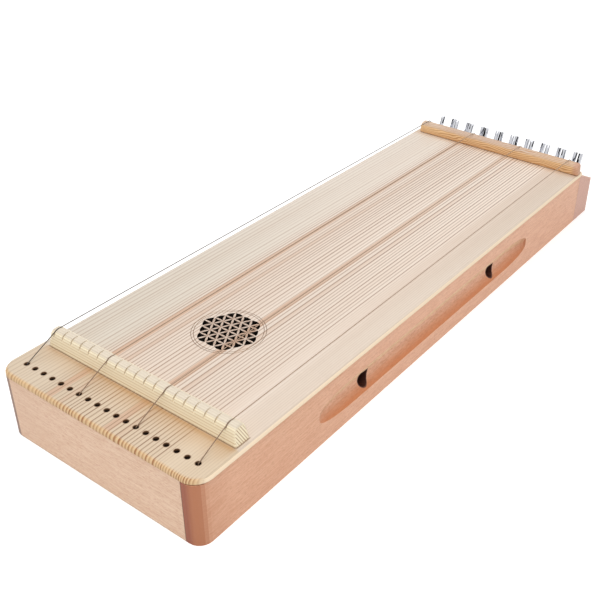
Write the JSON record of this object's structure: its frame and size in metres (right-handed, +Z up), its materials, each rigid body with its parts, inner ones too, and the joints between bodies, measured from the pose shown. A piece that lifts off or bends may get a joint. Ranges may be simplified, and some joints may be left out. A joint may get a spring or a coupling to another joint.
{
  "type": "monochord",
  "caption": "Table monochord: a long shallow wooden sound box with a pierced rosette, two bridges, wire strings and rows of tuning pins.",
  "frame": {"origin": "middle of the resting face, on the table", "axes": "+X along the strings towards the tuning pins, +Z up off the table"},
  "size_m": [0.618, 0.2, 0.0734],
  "materials": {
    "spruce": "satin",
    "beech": "satin",
    "pale_wood": "satin",
    "brown_wood": "satin",
    "string_steel": "satin",
    "brass": "satin",
    "nickel_plate": "polished"
  },
  "bodies": {
    "body": {"soundboard": "spruce", "side_left": "beech", "side_right": "beech", "hitch_block": "beech", "pin_block": "beech", "back_board": "spruce", "near_bridge": "pale_wood", "far_bridge": "brown_wood", "board_brace_1": "spruce", "board_brace_2": "spruce", "board_brace_3": "spruce", "back_brace_1": "spruce", "back_brace_2": "spruce", "ball_end_01": "brass", "ball_end_07": "brass", "ball_end_13": "brass", "ball_end_19": "brass", "string_01": "string_steel", "string_07": "string_steel", "string_13": "string_steel", "string_19": "string_steel"},
    "pin_01": {"tuning_pin_01": "nickel_plate"},
    "pin_02": {"tuning_pin_02": "nickel_plate"},
    "pin_03": {"tuning_pin_03": "nickel_plate"},
    "pin_04": {"tuning_pin_04": "nickel_plate"},
    "pin_05": {"tuning_pin_05": "nickel_plate"},
    "pin_06": {"tuning_pin_06": "nickel_plate"},
    "pin_07": {"tuning_pin_07": "nickel_plate"},
    "pin_08": {"tuning_pin_08": "nickel_plate"},
    "pin_09": {"tuning_pin_09": "nickel_plate"},
    "pin_10": {"tuning_pin_10": "nickel_plate"},
    "pin_11": {"tuning_pin_11": "nickel_plate"},
    "pin_12": {"tuning_pin_12": "nickel_plate"},
    "pin_13": {"tuning_pin_13": "nickel_plate"},
    "pin_14": {"tuning_pin_14": "nickel_plate"},
    "pin_15": {"tuning_pin_15": "nickel_plate"},
    "pin_16": {"tuning_pin_16": "nickel_plate"},
    "pin_17": {"tuning_pin_17": "nickel_plate"},
    "pin_18": {"tuning_pin_18": "nickel_plate"},
    "pin_19": {"tuning_pin_19": "nickel_plate"}
  },
  "joints": [
    {"name": "turn_pin_01", "type": "hinge", "parent": "body", "child": "pin_01", "pos_m": [0.2892, 0.08595, 0.04712], "axis": [0.3907, 0, 0.9205], "continuous": true},
    {"name": "turn_pin_02", "type": "hinge", "parent": "body", "child": "pin_02", "pos_m": [0.2985, 0.0764, 0.04318], "axis": [0.3907, 0, 0.9205], "continuous": true},
    {"name": "turn_pin_03", "type": "hinge", "parent": "body", "child": "pin_03", "pos_m": [0.2892, 0.06685, 0.04712], "axis": [0.3907, 0, 0.9205], "continuous": true},
    {"name": "turn_pin_04", "type": "hinge", "parent": "body", "child": "pin_04", "pos_m": [0.2985, 0.0573, 0.04318], "axis": [0.3907, 0, 0.9205], "continuous": true},
    {"name": "turn_pin_05", "type": "hinge", "parent": "body", "child": "pin_05", "pos_m": [0.2892, 0.04775, 0.04712], "axis": [0.3907, 0, 0.9205], "continuous": true},
    {"name": "turn_pin_06", "type": "hinge", "parent": "body", "child": "pin_06", "pos_m": [0.2985, 0.0382, 0.04318], "axis": [0.3907, 0, 0.9205], "continuous": true},
    {"name": "turn_pin_07", "type": "hinge", "parent": "body", "child": "pin_07", "pos_m": [0.2892, 0.02865, 0.04712], "axis": [0.3907, 0, 0.9205], "continuous": true},
    {"name": "turn_pin_08", "type": "hinge", "parent": "body", "child": "pin_08", "pos_m": [0.2985, 0.0191, 0.04318], "axis": [0.3907, 0, 0.9205], "continuous": true},
    {"name": "turn_pin_09", "type": "hinge", "parent": "body", "child": "pin_09", "pos_m": [0.2892, 0.00955, 0.04712], "axis": [0.3907, 0, 0.9205], "continuous": true},
    {"name": "turn_pin_10", "type": "hinge", "parent": "body", "child": "pin_10", "pos_m": [0.2985, 0, 0.04318], "axis": [0.3907, 0, 0.9205], "continuous": true},
    {"name": "turn_pin_11", "type": "hinge", "parent": "body", "child": "pin_11", "pos_m": [0.2892, -0.00955, 0.04712], "axis": [0.3907, 0, 0.9205], "continuous": true},
    {"name": "turn_pin_12", "type": "hinge", "parent": "body", "child": "pin_12", "pos_m": [0.2985, -0.0191, 0.04318], "axis": [0.3907, 0, 0.9205], "continuous": true},
    {"name": "turn_pin_13", "type": "hinge", "parent": "body", "child": "pin_13", "pos_m": [0.2892, -0.02865, 0.04712], "axis": [0.3907, 0, 0.9205], "continuous": true},
    {"name": "turn_pin_14", "type": "hinge", "parent": "body", "child": "pin_14", "pos_m": [0.2985, -0.0382, 0.04318], "axis": [0.3907, 0, 0.9205], "continuous": true},
    {"name": "turn_pin_15", "type": "hinge", "parent": "body", "child": "pin_15", "pos_m": [0.2892, -0.04775, 0.04712], "axis": [0.3907, 0, 0.9205], "continuous": true},
    {"name": "turn_pin_16", "type": "hinge", "parent": "body", "child": "pin_16", "pos_m": [0.2985, -0.0573, 0.04318], "axis": [0.3907, 0, 0.9205], "continuous": true},
    {"name": "turn_pin_17", "type": "hinge", "parent": "body", "child": "pin_17", "pos_m": [0.2892, -0.06685, 0.04712], "axis": [0.3907, 0, 0.9205], "continuous": true},
    {"name": "turn_pin_18", "type": "hinge", "parent": "body", "child": "pin_18", "pos_m": [0.2985, -0.0764, 0.04318], "axis": [0.3907, 0, 0.9205], "continuous": true},
    {"name": "turn_pin_19", "type": "hinge", "parent": "body", "child": "pin_19", "pos_m": [0.2892, -0.08595, 0.04712], "axis": [0.3907, 0, 0.9205], "continuous": true}
  ]
}
